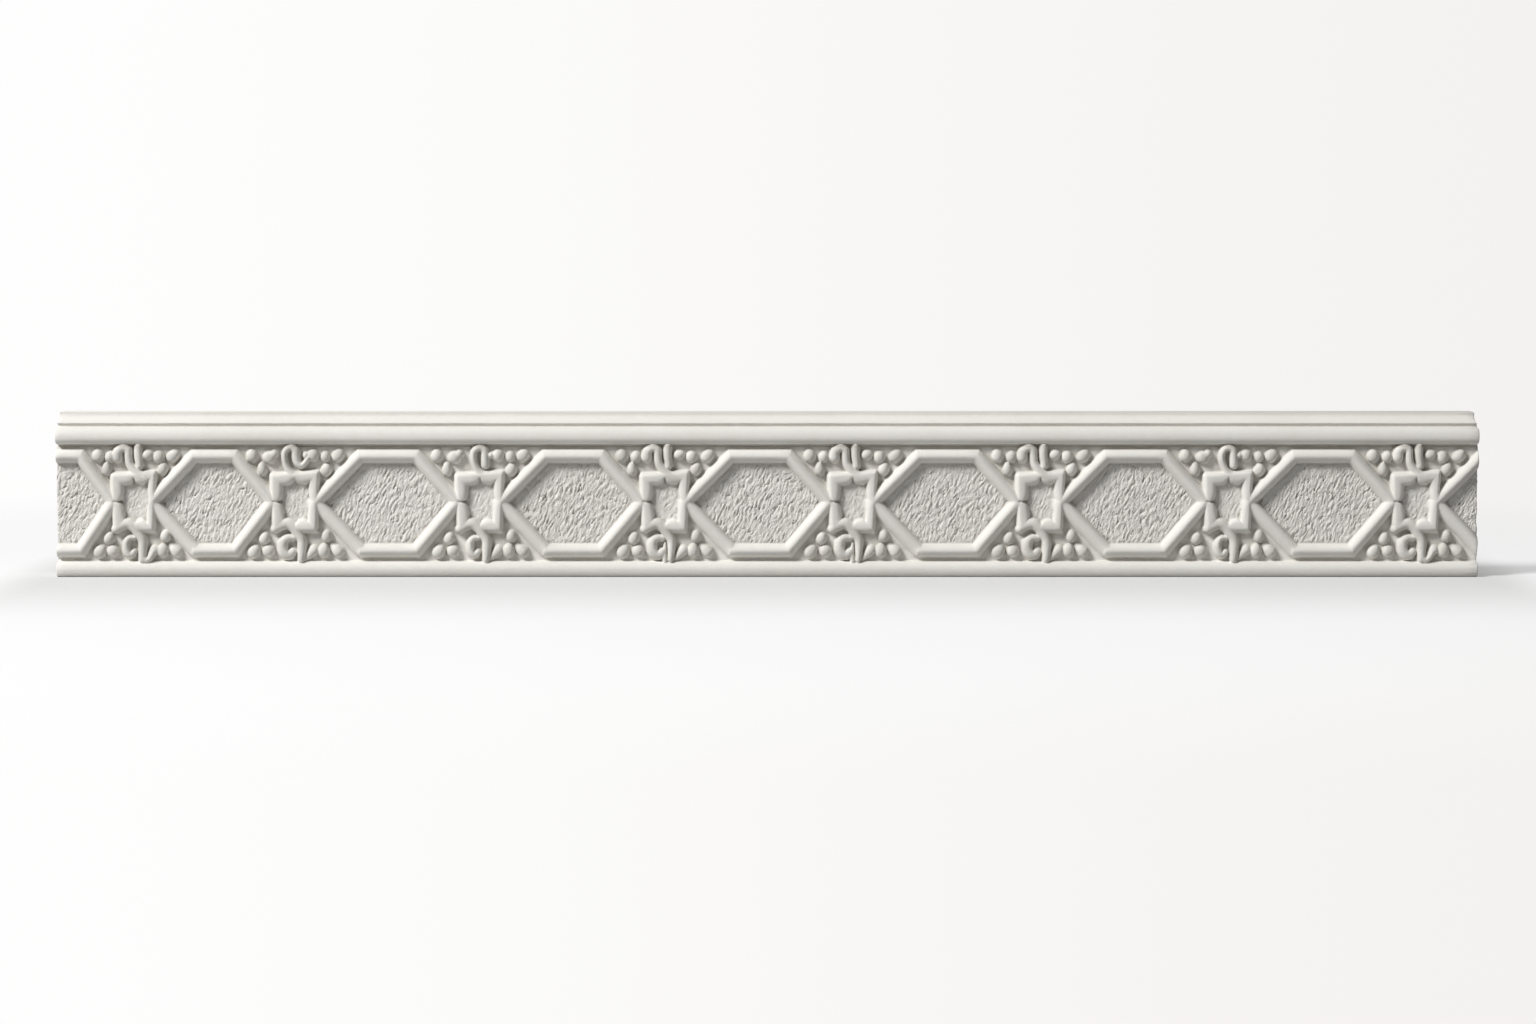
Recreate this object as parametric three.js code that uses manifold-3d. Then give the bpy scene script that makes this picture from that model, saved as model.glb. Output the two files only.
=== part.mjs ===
// A cast plaster crown moulding: two rolls, a cove and a band carved with hexagons, stars and sprigs.
// Lengths are in millimetres. X runs along the length, Z is up and the carved face looks towards -Y.
// The origin lies on the underside, in the middle of the length and of the depth.
import * as THREE from "three";
import { mergeVertices } from "three/addons/utils/BufferGeometryUtils.js";
import Module from "manifold-3d";

// The run, cut square at both ends
const runLength = 1000;
const runHeight = 115.5;
const runDepth = 34; // from the nose of the rolls to the flat back

// Mouldings of the profile, from the underside up
const baseRollHeight = 11.2;
const baseRollNose = 5.2; // height of the foremost line
const baseRollTuck = 3; // the underside starts this far behind the nose
const groundDepth = 6.6; // the carved ground lies this far behind the nose
const upperRollHeight = 12.1;
const upperRollNose = 4.8; // height of the foremost line above the band
const upperRollTuck = 4.5;
const upperRollBack = 5.4;
const quirkHeight = 2.9; // groove between the upper roll and the cove
const quirkDepth = 7.6; // bottom of the groove behind the nose
const quirkWall = 1.7; // height of the groove's upright back
const coveHeight = 6;
const coveFoot = 5; // depth of the cove's front edge behind the nose
const coveReach = 11; // depth of the cove itself
const filletHeight = 1.2;

// Stars along the band, and the hexagons between them
const firstStar = 55.2; // from the left end to the middle of the first star
const shortBay = 112; // between the first two stars
const closeBay = 130;
const closeBays = 2;
const fullBay = 132;

// Bars of the hexagons
const barWidth = 10;
const barRise = 6.2;
const barGapAbove = 3.3; // between the top bar and the upper roll
const barGapBelow = 2; // between the bottom bar and the base roll
const upperVertexAfter = 14; // from a star to the hexagon's left vertex, on the upper bars
const lowerVertexAfter = 18;
const vertexBefore = 15.6; // from the hexagon's right vertex to the next star
const cornerAfter = 47.3; // from a star to the corner of the next hexagon
const cornerBefore = 44.2; // from a hexagon's last corner to the star that follows
const cornerGiveAfter = 0.28; // share of a short bay's shortfall that each corner takes up
const cornerGiveBefore = 0.13;

// Star frames
const starWidth = 26.4; // between the crests of the two uprights
const starHeight = 33.2; // between the crests of the top and bottom arms
const starShift = 1.2; // the frame stands this far right of the star's middle
const patternLift = 0.8; // the middle line of stars and hexagons above the middle of the band
const armWidthOut = 5.2; // from the crest to the outer foot
const armWidthIn = 5; // from the crest to the inner foot at the fullest of a lobe
const armRise = 6;
const notchWidthIn = 1; // what is left of the inner width where two lobes meet
const notchRise = 5.4;
const cornerWidthIn = 0.3; // inner width where two arms meet

// Berries, in threes at the corners of each star
const berryWidth = 9.8;
const berryHeight = 10.8;
const berryRise = 5.2;
const berryRowInset = 7.2; // from the edge of the band to the middle of the outer berries
const berryRowStep = 9.6; // from that row to the third berry, towards the middle of the band
const outerBerryReach = 30.2; // from the middle of the star
const innerBerryReach = 20;
const thirdBerryReach = 22.6;
const firstStarPull = 3.6; // the first star's clusters stand closer in
const smallBerryReach = 12.2;
const smallBerryWidth = 7.4;

// Sprigs above and below each star
const sprigWidth = 7;
const sprigRise = 5.6;
const stemWidth = 8;
const forkWidth = 4.2;
const leafWidth = 5.4;
const tendrilWidth = 6;
const curlWidth = 6.6;
const leafRise = 4.6;
const loopStars = [1, 2, 6]; // stars whose upper sprig is a loop, counted from the left end
const forkStars = [3, 4]; // stars whose lower sprig forks
const rootFooting = 1.5; // carved parts reach this far into the ground

// Places that follow from the sizes
const noseY = -runDepth / 2;
const groundY = noseY + groundDepth;
const leftEnd = -runLength / 2;
const bandBottom = baseRollHeight;
const bandTop = runHeight - filletHeight - coveHeight - quirkHeight - upperRollHeight;
const patternLine = (bandBottom + bandTop) / 2 + patternLift; // middle line of stars and hexagons
const topBarLine = bandTop - barGapAbove - barWidth / 2;
const bottomBarLine = bandBottom + barGapBelow + barWidth / 2;

const wasm = await Module();
wasm.setup();

// Turns a closed three.js geometry into a solid that can be joined and cut.
function solidOf(geometry) {
  const bare = geometry.clone();
  bare.deleteAttribute("normal");
  bare.deleteAttribute("uv");
  const merged = mergeVertices(bare, 1e-4);
  return new wasm.Manifold(
    new wasm.Mesh({
      numProp: 3,
      vertProperties: new Float32Array(merged.attributes.position.array),
      triVerts: new Uint32Array(merged.index.array),
    }),
  );
}

// Turns a solid back into a three.js geometry.
function geometryOf(solid) {
  const mesh = solid.getMesh();
  const positions = new Float32Array(mesh.numVert * 3);
  for (let i = 0; i < mesh.numVert; i++) {
    const start = i * mesh.numProp;
    positions.set(mesh.vertProperties.subarray(start, start + 3), i * 3);
  }
  const geometry = new THREE.BufferGeometry();
  geometry.setAttribute("position", new THREE.BufferAttribute(positions, 3));
  geometry.setIndex(new THREE.BufferAttribute(new Uint32Array(mesh.triVerts), 1));
  geometry.computeVertexNormals();
  return geometry;
}

const quarter = Math.PI / 2;

// Outline of the run seen from its left end, with depth across and height up.
function runProfile() {
  const at = (depth) => noseY + depth;
  const upperNoseZ = bandTop + upperRollNose;
  const upperRollTop = bandTop + upperRollHeight;
  const coveBottom = upperRollTop + quirkHeight;
  const coveTop = coveBottom + coveHeight;
  const shape = new THREE.Shape();
  shape.moveTo(at(runDepth), 0);
  shape.lineTo(at(baseRollTuck), 0);
  const turnUnder = (tuck, noseZ, height) =>
    shape.absellipse(at(tuck), noseZ, tuck, height, -quarter, -2 * quarter, true);
  const turnBack = (back, noseZ, height) =>
    shape.absellipse(at(back), noseZ, back, height, 2 * quarter, quarter, true);
  turnUnder(baseRollTuck, baseRollNose, baseRollNose);
  turnBack(groundDepth, baseRollNose, baseRollHeight - baseRollNose);
  shape.lineTo(at(groundDepth), bandTop);
  shape.lineTo(at(upperRollTuck), bandTop);
  turnUnder(upperRollTuck, upperNoseZ, upperRollNose);
  turnBack(upperRollBack, upperNoseZ, upperRollTop - upperNoseZ);
  shape.lineTo(at(quirkDepth), upperRollTop);
  shape.lineTo(at(quirkDepth), upperRollTop + quirkWall);
  shape.lineTo(at(coveFoot), coveBottom);
  shape.absellipse(at(coveFoot), coveTop, coveReach, coveHeight, -quarter, 0, false);
  shape.lineTo(at(coveFoot + coveReach), runHeight);
  shape.lineTo(at(runDepth), runHeight);
  shape.closePath();
  return shape;
}

const endSpare = 40; // what is made beyond each end, before the ends are cut

function runBody() {
  const length = runLength + 2 * endSpare;
  const geometry = new THREE.ExtrudeGeometry(runProfile(), {
    depth: length,
    bevelEnabled: false,
    curveSegments: 5,
  });
  const alongX = new THREE.Matrix4().makeBasis(
    new THREE.Vector3(0, 1, 0),
    new THREE.Vector3(0, 0, 1),
    new THREE.Vector3(1, 0, 0),
  );
  geometry.applyMatrix4(alongX);
  geometry.translate(leftEnd - endSpare, 0, 0);
  return solidOf(geometry);
}

// Sections of a ridge: share of the half width from left to right, and share of the rise
const barSection = [[-1, 0], [-0.9, 0.34], [-0.45, 0.82], [0, 1], [0.45, 0.82], [0.9, 0.34], [1, 0]];
const armSection = [[-1, 0], [-0.72, 0.62], [0, 1], [0.72, 0.62], [1, 0]];
const sprigSection = [[-1, 0], [-0.5, 0.94], [0.5, 0.94], [1, 0]];

const sharpestMitre = 0.55; // cosine that limits how far a mitred section may stretch

// A ridge on the ground through stations of place, left and right half width and rise.
// Its section stands square to the path and is mitred where the path turns.
function ridge(stations, section, closed = false) {
  const count = stations.length;
  const points = [];
  stations.forEach((here, i) => {
    const before = closed ? stations[(i + count - 1) % count] : stations[Math.max(i - 1, 0)];
    const after = closed ? stations[(i + 1) % count] : stations[Math.min(i + 1, count - 1)];
    const arriving = here.place.clone().sub(before.place).normalize();
    const leaving = after.place.clone().sub(here.place).normalize();
    const along = arriving.clone().add(leaving).normalize();
    const mitre = 1 / Math.max(along.dot(i < count - 1 || closed ? leaving : arriving), sharpestMitre);
    section.forEach(([side, rise]) => {
      const offset = side * (side < 0 ? here.left : here.right) * mitre;
      const y = rise > 0 ? groundY - rise * here.rise : groundY + rootFooting;
      points.push(here.place.x + along.y * offset, y, here.place.y - along.x * offset);
    });
  });
  const around = section.length;
  const faces = [];
  for (let i = 0; i < (closed ? count : count - 1); i++) {
    for (let k = 0; k < around; k++) {
      const a = i * around + k;
      const b = i * around + ((k + 1) % around);
      const c = ((i + 1) % count) * around + k;
      const d = ((i + 1) % count) * around + ((k + 1) % around);
      faces.push(a, b, c, b, d, c);
    }
  }
  for (let k = 1; !closed && k < around - 1; k++) {
    const last = (count - 1) * around;
    faces.push(0, k + 1, k, last, last + k, last + k + 1);
  }
  const geometry = new THREE.BufferGeometry();
  geometry.setAttribute("position", new THREE.BufferAttribute(new Float32Array(points), 3));
  geometry.setIndex(faces);
  return solidOf(geometry);
}

const tipWidth = 0.45; // share of the width left at a rounded tip
const tipRise = 0.5;
const tipLength = 0.3; // share of the width over which a tip rounds off

// A sprig's stroke: a smooth ridge through a few places. It starts in a rounded tip or runs into its neighbour
// there, and likewise where it ends.
function stroke(places, width, rise, steps, startTip, endTip) {
  const curve = new THREE.SplineCurve(places.map(([x, z]) => new THREE.Vector2(x, z)));
  const tip = (tipLength * width) / curve.getLength();
  const first = startTip ? tip : 0;
  const last = endTip ? 1 - tip : 1;
  const marks = [];
  for (let i = 0; i <= steps; i++) marks.push({ at: THREE.MathUtils.lerp(first, last, i / steps), full: true });
  if (startTip) marks.unshift({ at: 0, full: false });
  if (endTip) marks.push({ at: 1, full: false });
  const stations = marks.map(({ at, full }) => {
    const half = (width / 2) * (full ? 1 : tipWidth);
    return { place: curve.getPointAt(at), left: half, right: half, rise: rise * (full ? 1 : tipRise) };
  });
  return ridge(stations, sprigSection);
}

// A straight-sided bar through corners.
function bar(corners) {
  const half = barWidth / 2;
  const stations = corners.map(([x, z]) => ({
    place: new THREE.Vector2(x, z),
    left: half,
    right: half,
    rise: barRise,
  }));
  return ridge(stations, barSection);
}

// The upper and lower bars of the hexagon between two stars.
function hexagon(left, right) {
  const shortfall = Math.max(fullBay - (right - left), 0);
  const firstCorner = left + cornerAfter - cornerGiveAfter * shortfall;
  const lastCorner = right - cornerBefore + cornerGiveBefore * shortfall;
  const upper = bar([
    [left + upperVertexAfter, patternLine],
    [firstCorner, topBarLine],
    [lastCorner, topBarLine],
    [right - vertexBefore, patternLine],
  ]);
  const lower = bar([
    [left + lowerVertexAfter, patternLine],
    [firstCorner, bottomBarLine],
    [lastCorner, bottomBarLine],
    [right - vertexBefore, patternLine],
  ]);
  return [upper, lower];
}

// Shares of half an arm from its corner to the notch, and how full the lobe is there
const lobeSpread = 0.92; // how fast a lobe may widen away from its corner
const lobeMarks = [
  { share: 0.34, fullness: 0.94 },
  { share: 0.86, fullness: 1 },
];

// The frame of a star: four arms round a square, each swelling inwards into two lobes.
function starFrame(x) {
  const reach = starWidth / 2;
  const height = starHeight / 2;
  const corners = [[-1, 1], [1, 1], [1, -1], [-1, -1]].map(
    ([across, up]) => new THREE.Vector2(x + starShift + across * reach, patternLine + up * height),
  );
  const stations = [];
  corners.forEach((corner, i) => {
    const next = corners[(i + 1) % corners.length];
    const half = corner.distanceTo(next) / 2;
    const add = (share, inner, rise) =>
      stations.push({ place: corner.clone().lerp(next, share), left: armWidthOut, right: inner, rise });
    const lobes = lobeMarks.map(({ share, fullness }) => ({
      share,
      inner: Math.min(armWidthIn * fullness, lobeSpread * share * half),
    }));
    add(0, cornerWidthIn, armRise);
    lobes.forEach(({ share, inner }) => add(share / 2, inner, armRise));
    add(0.5, notchWidthIn, notchRise);
    lobes.reverse().forEach(({ share, inner }) => add(1 - share / 2, inner, armRise));
  });
  return ridge(stations, armSection, true);
}

const berrySides = 6;
const berrySunk = 0.3; // the middle of a berry lies this far below the ground

function berry(x, z, width, height, tilt = 0) {
  const geometry = new THREE.SphereGeometry(1, berrySides, 4);
  geometry.scale(width / 2, berryRise + berrySunk, height / 2);
  geometry.rotateY(tilt);
  geometry.translate(x, groundY + berrySunk, z);
  return solidOf(geometry);
}

// Three berries at each corner of a star, and a small one beside the upper sprig.
function berries(x, pull) {
  const parts = [];
  for (const across of [-1, 1]) {
    for (const up of [-1, 1]) {
      const row = (up > 0 ? bandTop : bandBottom) - up * berryRowInset;
      const put = (reach, z, tilt) =>
        parts.push(berry(x + across * (reach - pull), z, berryWidth, berryHeight, across * up * tilt));
      put(outerBerryReach, row, 0.5);
      put(innerBerryReach, row, 0.2);
      put(thirdBerryReach, row - up * berryRowStep, -0.2);
    }
  }
  const smallRow = bandTop - berryRowInset;
  parts.push(berry(x + smallBerryReach, smallRow, smallBerryWidth, smallBerryWidth));
  return parts;
}

// Sprig lines: distance right of the star's middle, and share of the way from the frame to the band's edge
const hookLine = [[-11.6, 0.66], [-10.4, 0.86], [-7.4, 0.93], [-4.4, 0.82], [-4.2, 0.52], [-2.4, 0.28], [3, 0.04]];
const uprightLine = [[2.1, 0.98], [2.4, 0.68], [2.6, 0.38]];
const loopLine = [[-0.6, 0.06], [-4.4, 0.36], [-5, 0.66], [-3.6, 0.88], [-0.2, 0.9], [1.6, 0.7], [2, 0.38]];
const tendrilLine = [[2.6, 0.34], [6, 0.4], [9, 0.58], [11.4, 0.7]];
const stemLine = [[-0.8, 0.04], [3.2, 0.2], [6, 0.44], [6.4, 0.66], [4.8, 0.98]];
const curlLine = [[0.2, 0.32], [-4.6, 0.36], [-7.8, 0.54], [-8.8, 0.72], [-6.6, 0.88], [-2.8, 0.9], [-0.6, 0.76]];
const forkLine = [[0.2, 0.5], [0.2, 0.72], [0.3, 0.98]];
const leafLine = [[9.6, 0.93], [11.4, 0.78], [14, 0.66]];

// The sprig above a star and the one below it.
function sprigs(x, index) {
  const frameTop = patternLine + starHeight / 2;
  const frameBottom = patternLine - starHeight / 2;
  const above = ([side, share]) => [x + side, THREE.MathUtils.lerp(frameTop, bandTop, share)];
  const below = ([side, share]) => [x + side, THREE.MathUtils.lerp(frameBottom, bandBottom, share)];
  const looped = loopStars.includes(index);
  const parts = looped
    ? [
        stroke(loopLine.map(above), sprigWidth, sprigRise, 7, false, true),
        stroke(tendrilLine.map(above), tendrilWidth, sprigRise, 2, true, true),
      ]
    : [
        stroke(hookLine.map(above), sprigWidth, sprigRise, 6, true, false),
        stroke(uprightLine.map(above), sprigWidth, sprigRise, 1, false, true),
      ];
  parts.push(stroke(stemLine.map(below), stemWidth, sprigRise, 4, false, false));
  parts.push(stroke(curlLine.map(below), curlWidth, sprigRise, 6, false, true));
  parts.push(stroke(leafLine.map(below), leafWidth, leafRise, 2, false, true));
  if (forkStars.includes(index)) parts.push(stroke(forkLine.map(below), forkWidth, leafRise, 1, true, false));
  return parts;
}

// Middles of the stars, from one bay before the left end to past the right end.
function starPlaces() {
  const places = [leftEnd + firstStar - shortBay];
  for (let bay = 0; places[places.length - 1] < runLength / 2; bay++) {
    const length = bay <= 1 ? shortBay : bay <= 1 + closeBays ? closeBay : fullBay;
    places.push(places[places.length - 1] + length);
  }
  return places;
}

function crownMoulding() {
  const stars = starPlaces();
  let solid = runBody();
  for (let i = 0; i < stars.length; i++) {
    const index = i - 1;
    const parts = [];
    if (i + 1 < stars.length) parts.push(...hexagon(stars[i], stars[i + 1]));
    if (index >= 0 && stars[i] < runLength / 2) {
      parts.push(starFrame(stars[i]));
      parts.push(...berries(stars[i], index === 0 ? firstStarPull : 0));
      parts.push(...sprigs(stars[i], index));
    }
    parts.forEach((part) => {
      solid = solid.add(part);
    });
  }
  const within = new THREE.BoxGeometry(runLength, 4 * runDepth, 4 * runHeight);
  return geometryOf(solid.intersect(solidOf(within)));
}

const plaster = new THREE.MeshStandardMaterial({ color: 0xe8e4dc, roughness: 0.82, metalness: 0 });

const moulding = new THREE.Mesh(crownMoulding(), plaster);
moulding.name = "crown_moulding";

const part = new THREE.Group();
part.add(moulding);
export default part;
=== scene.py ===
# A cast plaster crown moulding: one casting with two rolls, a cove and a band carved with
# hexagons, stars, berries and sprigs. Sizes are in millimetres until the mesh is made.
import math

import bmesh
import bpy
import numpy as np
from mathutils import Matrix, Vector


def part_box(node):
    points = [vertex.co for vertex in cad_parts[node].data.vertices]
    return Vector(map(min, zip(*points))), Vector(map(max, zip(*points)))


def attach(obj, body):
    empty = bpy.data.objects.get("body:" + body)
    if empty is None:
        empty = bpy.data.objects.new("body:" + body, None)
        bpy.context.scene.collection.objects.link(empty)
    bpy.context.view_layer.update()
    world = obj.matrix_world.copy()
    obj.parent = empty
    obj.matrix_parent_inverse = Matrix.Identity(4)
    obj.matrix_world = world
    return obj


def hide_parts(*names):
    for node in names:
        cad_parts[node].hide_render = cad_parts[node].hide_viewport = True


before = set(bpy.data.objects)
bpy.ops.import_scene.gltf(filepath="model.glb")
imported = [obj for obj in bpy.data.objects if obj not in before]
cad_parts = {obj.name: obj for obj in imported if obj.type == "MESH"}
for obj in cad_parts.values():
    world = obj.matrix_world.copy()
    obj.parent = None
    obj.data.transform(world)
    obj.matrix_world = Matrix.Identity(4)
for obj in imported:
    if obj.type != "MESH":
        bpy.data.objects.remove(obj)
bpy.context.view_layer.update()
node = "crown_moulding"
mm = 0.001
frontLow, backHigh = (np.array(corner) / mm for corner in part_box(node))
leftEnd, noseY = frontLow[:2]
rightEnd = backHigh[0]
runLength, runDepth, runHeight = backHigh - frontLow

# The mouldings of the profile, from the underside up
profile = {
    "baseRollHeight": 11.2,
    "baseRollNose": 5.2,
    "baseRollTuck": 3.0,  # the underside starts this far behind the nose
    "groundDepth": 6.6,  # the carved ground lies this far behind the nose
    "upperRollHeight": 12.1,
    "upperRollNose": 4.8,
    "upperRollTuck": 4.5,
    "upperRollBack": 5.4,
    "ledgeTilt": 0.35,  # the ledge under the upper roll isn't quite level
    "quirkHeight": 2.9,
    "quirkDepth": 6.7,
    "quirkWall": 1.7,
    "coveHeight": 6.0,
    "coveFoot": 5.0,
    "coveReach": 11.0,
    "filletHeight": 1.2,
    "frontStep": 0.5,  # distance between the rows of the mesh
    "hiddenStep": 4.0,
    "arcPoints": 40,
    "edgeWear": 0.4,
    "wearStep": 0.1,
    "wearSteps": 12,
}
bandBottom = profile["baseRollHeight"]
aboveBand = ("upperRollHeight", "quirkHeight", "coveHeight", "filletHeight")
bandTop = runHeight - sum(profile[name] for name in aboveBand[::-1])
groundDepth = profile["groundDepth"]

# Middles of the stars, from one bay before the left end to past the right end
bays = {
    "firstStar": 55.2,
    "shortBay": 112.0,
    "shortBays": 2,
    "closeBay": 130.0,
    "closeBays": 2,
    "fullBay": 132.0,
    "middleRise": 0.8,  # the pattern's middle line lies this far above the band's
}
patternLine = (bandBottom + bandTop) / 2 + bays["middleRise"]


def starPlaces():
    lengths = [bays["shortBay"]] * bays["shortBays"] + [bays["closeBay"]] * bays["closeBays"]
    places = [leftEnd + bays["firstStar"] - bays["shortBay"]]
    while places[-1] < rightEnd:
        bay = len(places) - 1
        places.append(places[-1] + (lengths[bay] if bay < len(lengths) else bays["fullBay"]))
    return places


stars = starPlaces()

# The carving is a height above the ground, worked out on a fine raster of the band
carving = {
    "pitch": 0.25,
    "margin": 5.0,  # how far the raster reaches past the band
    "endMargin": 2.0,
    "join": 0.5,  # how softly carved parts run together
    "fall": 3.0,  # how steeply a part goes on down outside its edge
    "strandPower": 2.3,
    "strandGrime": 0.8,
    "grimeRise": (0.3, 2.0),
    "wear": 0.28,
    "hollowReach": 2.0,
    "groundEdge": (2.2, 1.4),  # below this height the ground begins
    "groundUneven": (0.12, 9.0, 0.05, 1.7),  # depth and size of its large and small dents
    "partUneven": (0.1, 6.0),
}
rasterX = np.arange(leftEnd - carving["endMargin"], rightEnd + carving["endMargin"], carving["pitch"])
rasterZ = np.arange(bandBottom - carving["margin"], bandTop + carving["margin"], carving["pitch"])
height = np.zeros((len(rasterZ), len(rasterX)))
stippled = np.zeros_like(height)  # how far a place lies in a wrinkled field
grimy = np.zeros_like(height)  # how far a place lies on a berry or sprig


def smoothMax(a, b, join):
    near = np.clip(join - np.abs(a - b), 0, None) / join
    return np.maximum(a, b) + near * near * join / 4


def smoothStep(low, high, value):
    t = np.clip((value - low) / (high - low), 0, 1)
    return t * t * (3 - 2 * t)


# Height of a rounded section over its share of the half width; power 2 is a dome, less is a gable
def section(share, power):
    share = np.abs(share)
    inside = np.clip(1 - np.minimum(share, 1) ** power, 0, 1) ** (1 / power)
    return np.where(share < 1, inside, carving["fall"] * (1 - share))


# The rows and columns of the raster within a box
def windowOf(xLow, xHigh, zLow, zHigh):
    columns = slice(*np.searchsorted(rasterX, (xLow, xHigh)))
    rows = slice(*np.searchsorted(rasterZ, (zLow, zHigh)))
    return rows, columns


# Adds a carved part, given as a function of place, within a box round its points
def carve(points, reach, shape, join=None, grime=0):
    points = np.array(points)
    (xLow, zLow), (xHigh, zHigh) = points.min(0) - reach, points.max(0) + reach
    rows, columns = windowOf(xLow, xHigh, zLow, zHigh)
    x, z = np.meshgrid(rasterX[columns], rasterZ[rows])
    if x.size:
        part = shape(x, z)
        height[rows, columns] = smoothMax(height[rows, columns], part, join or carving["join"])
        part = grime * smoothStep(*carving["grimeRise"], part)
        grimy[rows, columns] = np.maximum(grimy[rows, columns], part)


# A smooth line through a few places
def spline(places, steps=7):
    p = np.array(places, float)
    p = np.vstack([2 * p[0] - p[1], p, 2 * p[-1] - p[-2]])
    t = np.linspace(0, 1, steps, endpoint=False)[:, None]
    runs = []
    for a, b, c, d in zip(p, p[1:], p[2:], p[3:]):
        square, cube = 2 * a - 5 * b + 4 * c - d, 3 * b - a - 3 * c + d
        runs.append(0.5 * (2 * b + (c - a) * t + square * t**2 + cube * t**3))
    return np.vstack([*runs, p[-2:-1]])


# A round strand along a line, with widths and shares of its rise spaced along it
def strand(places, widths, rise, rises=(1, 1)):
    line = spline(places)
    lengths = np.concatenate([[0], np.cumsum(np.linalg.norm(np.diff(line, axis=0), axis=1))])
    shares = lengths / lengths[-1]

    def shape(x, z):
        best = np.full(x.shape, np.inf)
        along = np.zeros(x.shape)
        for a, b, startShare, endShare in zip(line, line[1:], shares, shares[1:]):
            run = b - a
            t = np.clip(((x - a[0]) * run[0] + (z - a[1]) * run[1]) / (run @ run), 0, 1)
            gap = np.hypot(x - a[0] - t * run[0], z - a[1] - t * run[1])
            closer = gap < best
            best = np.where(closer, gap, best)
            along = np.where(closer, startShare + t * (endShare - startShare), along)
        half = np.interp(along, np.linspace(0, 1, len(widths)), widths) / 2
        top = rise * np.interp(along, np.linspace(0, 1, len(rises)), rises)
        return top * section(best / half, carving["strandPower"])

    carve(line, max(widths), shape, None, carving["strandGrime"])


# A straight-sided ridge mitred at its corners; all corners turn the same way
def mitredBar(corners, width, rise, power, outward, ends, skirt=0):
    p = np.array(corners, float)

    def shape(x, z):
        beside = np.full(x.shape, -np.inf)
        for a, b in zip(p, p[1:]):
            run = (b - a) / np.linalg.norm(b - a)
            beside = np.maximum(beside, outward * ((z - a[1]) * run[0] - (x - a[0]) * run[1]))
        over = np.zeros(x.shape)
        for tip, corner, end in ((p[0], p[1], ends[0]), (p[-1], p[-2], ends[1])):
            run = (corner - tip) / np.linalg.norm(corner - tip)
            past = np.clip(-((x - tip[0]) * run[0] + (z - tip[1]) * run[1]), 0, None)
            over = np.maximum(over, past / end)
        inner = section(np.hypot(beside / (width / 2), over), power)
        outerPower = bars["skirtPower"] if skirt else power
        outer = section(np.hypot(beside / (width / 2 + skirt), over), outerPower)
        return rise * np.where(beside > 0, outer, inner)

    carve(p, width, shape)


# Bars of the hexagons
bars = {
    "width": 10.0,
    "rise": 6.3,
    "power": 1.75,
    "gapAbove": 3.3,
    "gapBelow": 2.3,
    "upperVertexAfter": 14.3,
    "upperVertexDrop": 1.2,
    "footAfter": 14.0,  # the bar runs on down into the star's frame
    "footDrop": 4.4,
    "lowerVertexAfter": 16.6,
    "lowerVertexDrop": 1.6,
    "vertexBefore": 14.8,
    "cornerAfter": 47.3,
    "cornerBefore": 44.2,
    "cornerGiveAfter": 0.28,
    "cornerGiveBefore": 0.13,
    "ends": (3.0, 3.0),  # over which a bar drops at each of its ends
    "lowerEnds": (3.2, 3.0),
    "underWidth": 9.0,  # of the lower left bar
    "underRise": 5.6,
    "underPower": 2.3,
    "underReach": 1.0,
    "underEnds": (1.4, 2.0),
    "skirt": 1.3,  # it runs out into the ground
    "skirtPower": 1.6,
    "fieldEdge": (-1.0, 1.5),  # where the wrinkles begin, from the foot of a bar
    "endGive": 3.5,  # the cut-off hexagon at the left end is longer at its right
    "firstNearer": 3.8,  # the first whole star is narrower, and this hexagon's tip is nearer to it
}
topBarLine = bandTop - bars["gapAbove"] - bars["width"] / 2
bottomBarLine = bandBottom + bars["gapBelow"] + bars["width"] / 2


# The bars and the wrinkled field between two stars; the lower left bar lies under the others
def hexagon(left, right):
    shortfall = max(bays["fullBay"] - (right - left), 0)
    first = left + bars["cornerAfter"] - bars["cornerGiveAfter"] * shortfall
    last = right - bars["cornerBefore"] + bars["cornerGiveBefore"] * shortfall
    if left < leftEnd:
        last += bars["endGive"]
    start = left - (bars["firstNearer"] if left == stars[1] else 0)
    foot = (start + bars["footAfter"], patternLine - bars["footDrop"])
    leftTip = (start + bars["upperVertexAfter"], patternLine - bars["upperVertexDrop"])
    underTip = (start + bars["lowerVertexAfter"], patternLine - bars["lowerVertexDrop"])
    rightTip = (right - bars["vertexBefore"], patternLine)
    top = [(first, topBarLine), (last, topBarLine)]
    bottom = [(first, bottomBarLine), (last, bottomBarLine)]
    under = [underTip, (first + bars["underReach"], bottomBarLine)]
    width, rise, power = (bars["under" + name] for name in ("Width", "Rise", "Power"))
    mitredBar(under, width, rise, power, -1, bars["underEnds"], bars["skirt"])
    width, rise, power = bars["width"], bars["rise"], bars["power"]
    mitredBar([foot, leftTip, *top, rightTip], width, rise, power, 1, bars["ends"])
    mitredBar([*bottom, rightTip], width, rise, power, -1, bars["lowerEnds"])
    field = np.array([(leftTip[0], patternLine), *top, rightTip, *bottom[::-1]])
    rows, columns = windowOf(left, right, bandBottom, bandTop)
    x, z = np.meshgrid(rasterX[columns], rasterZ[rows])
    inside = np.full(x.shape, np.inf)
    for a, b in zip(field, np.roll(field, -1, 0)):
        run = (b - a) / np.linalg.norm(b - a)
        inside = np.minimum(inside, (x - a[0]) * run[1] - (z - a[1]) * run[0])
    share = smoothStep(*(width / 2 + edge for edge in bars["fieldEdge"]), inside)
    stippled[rows, columns] = np.maximum(stippled[rows, columns], share)


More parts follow.
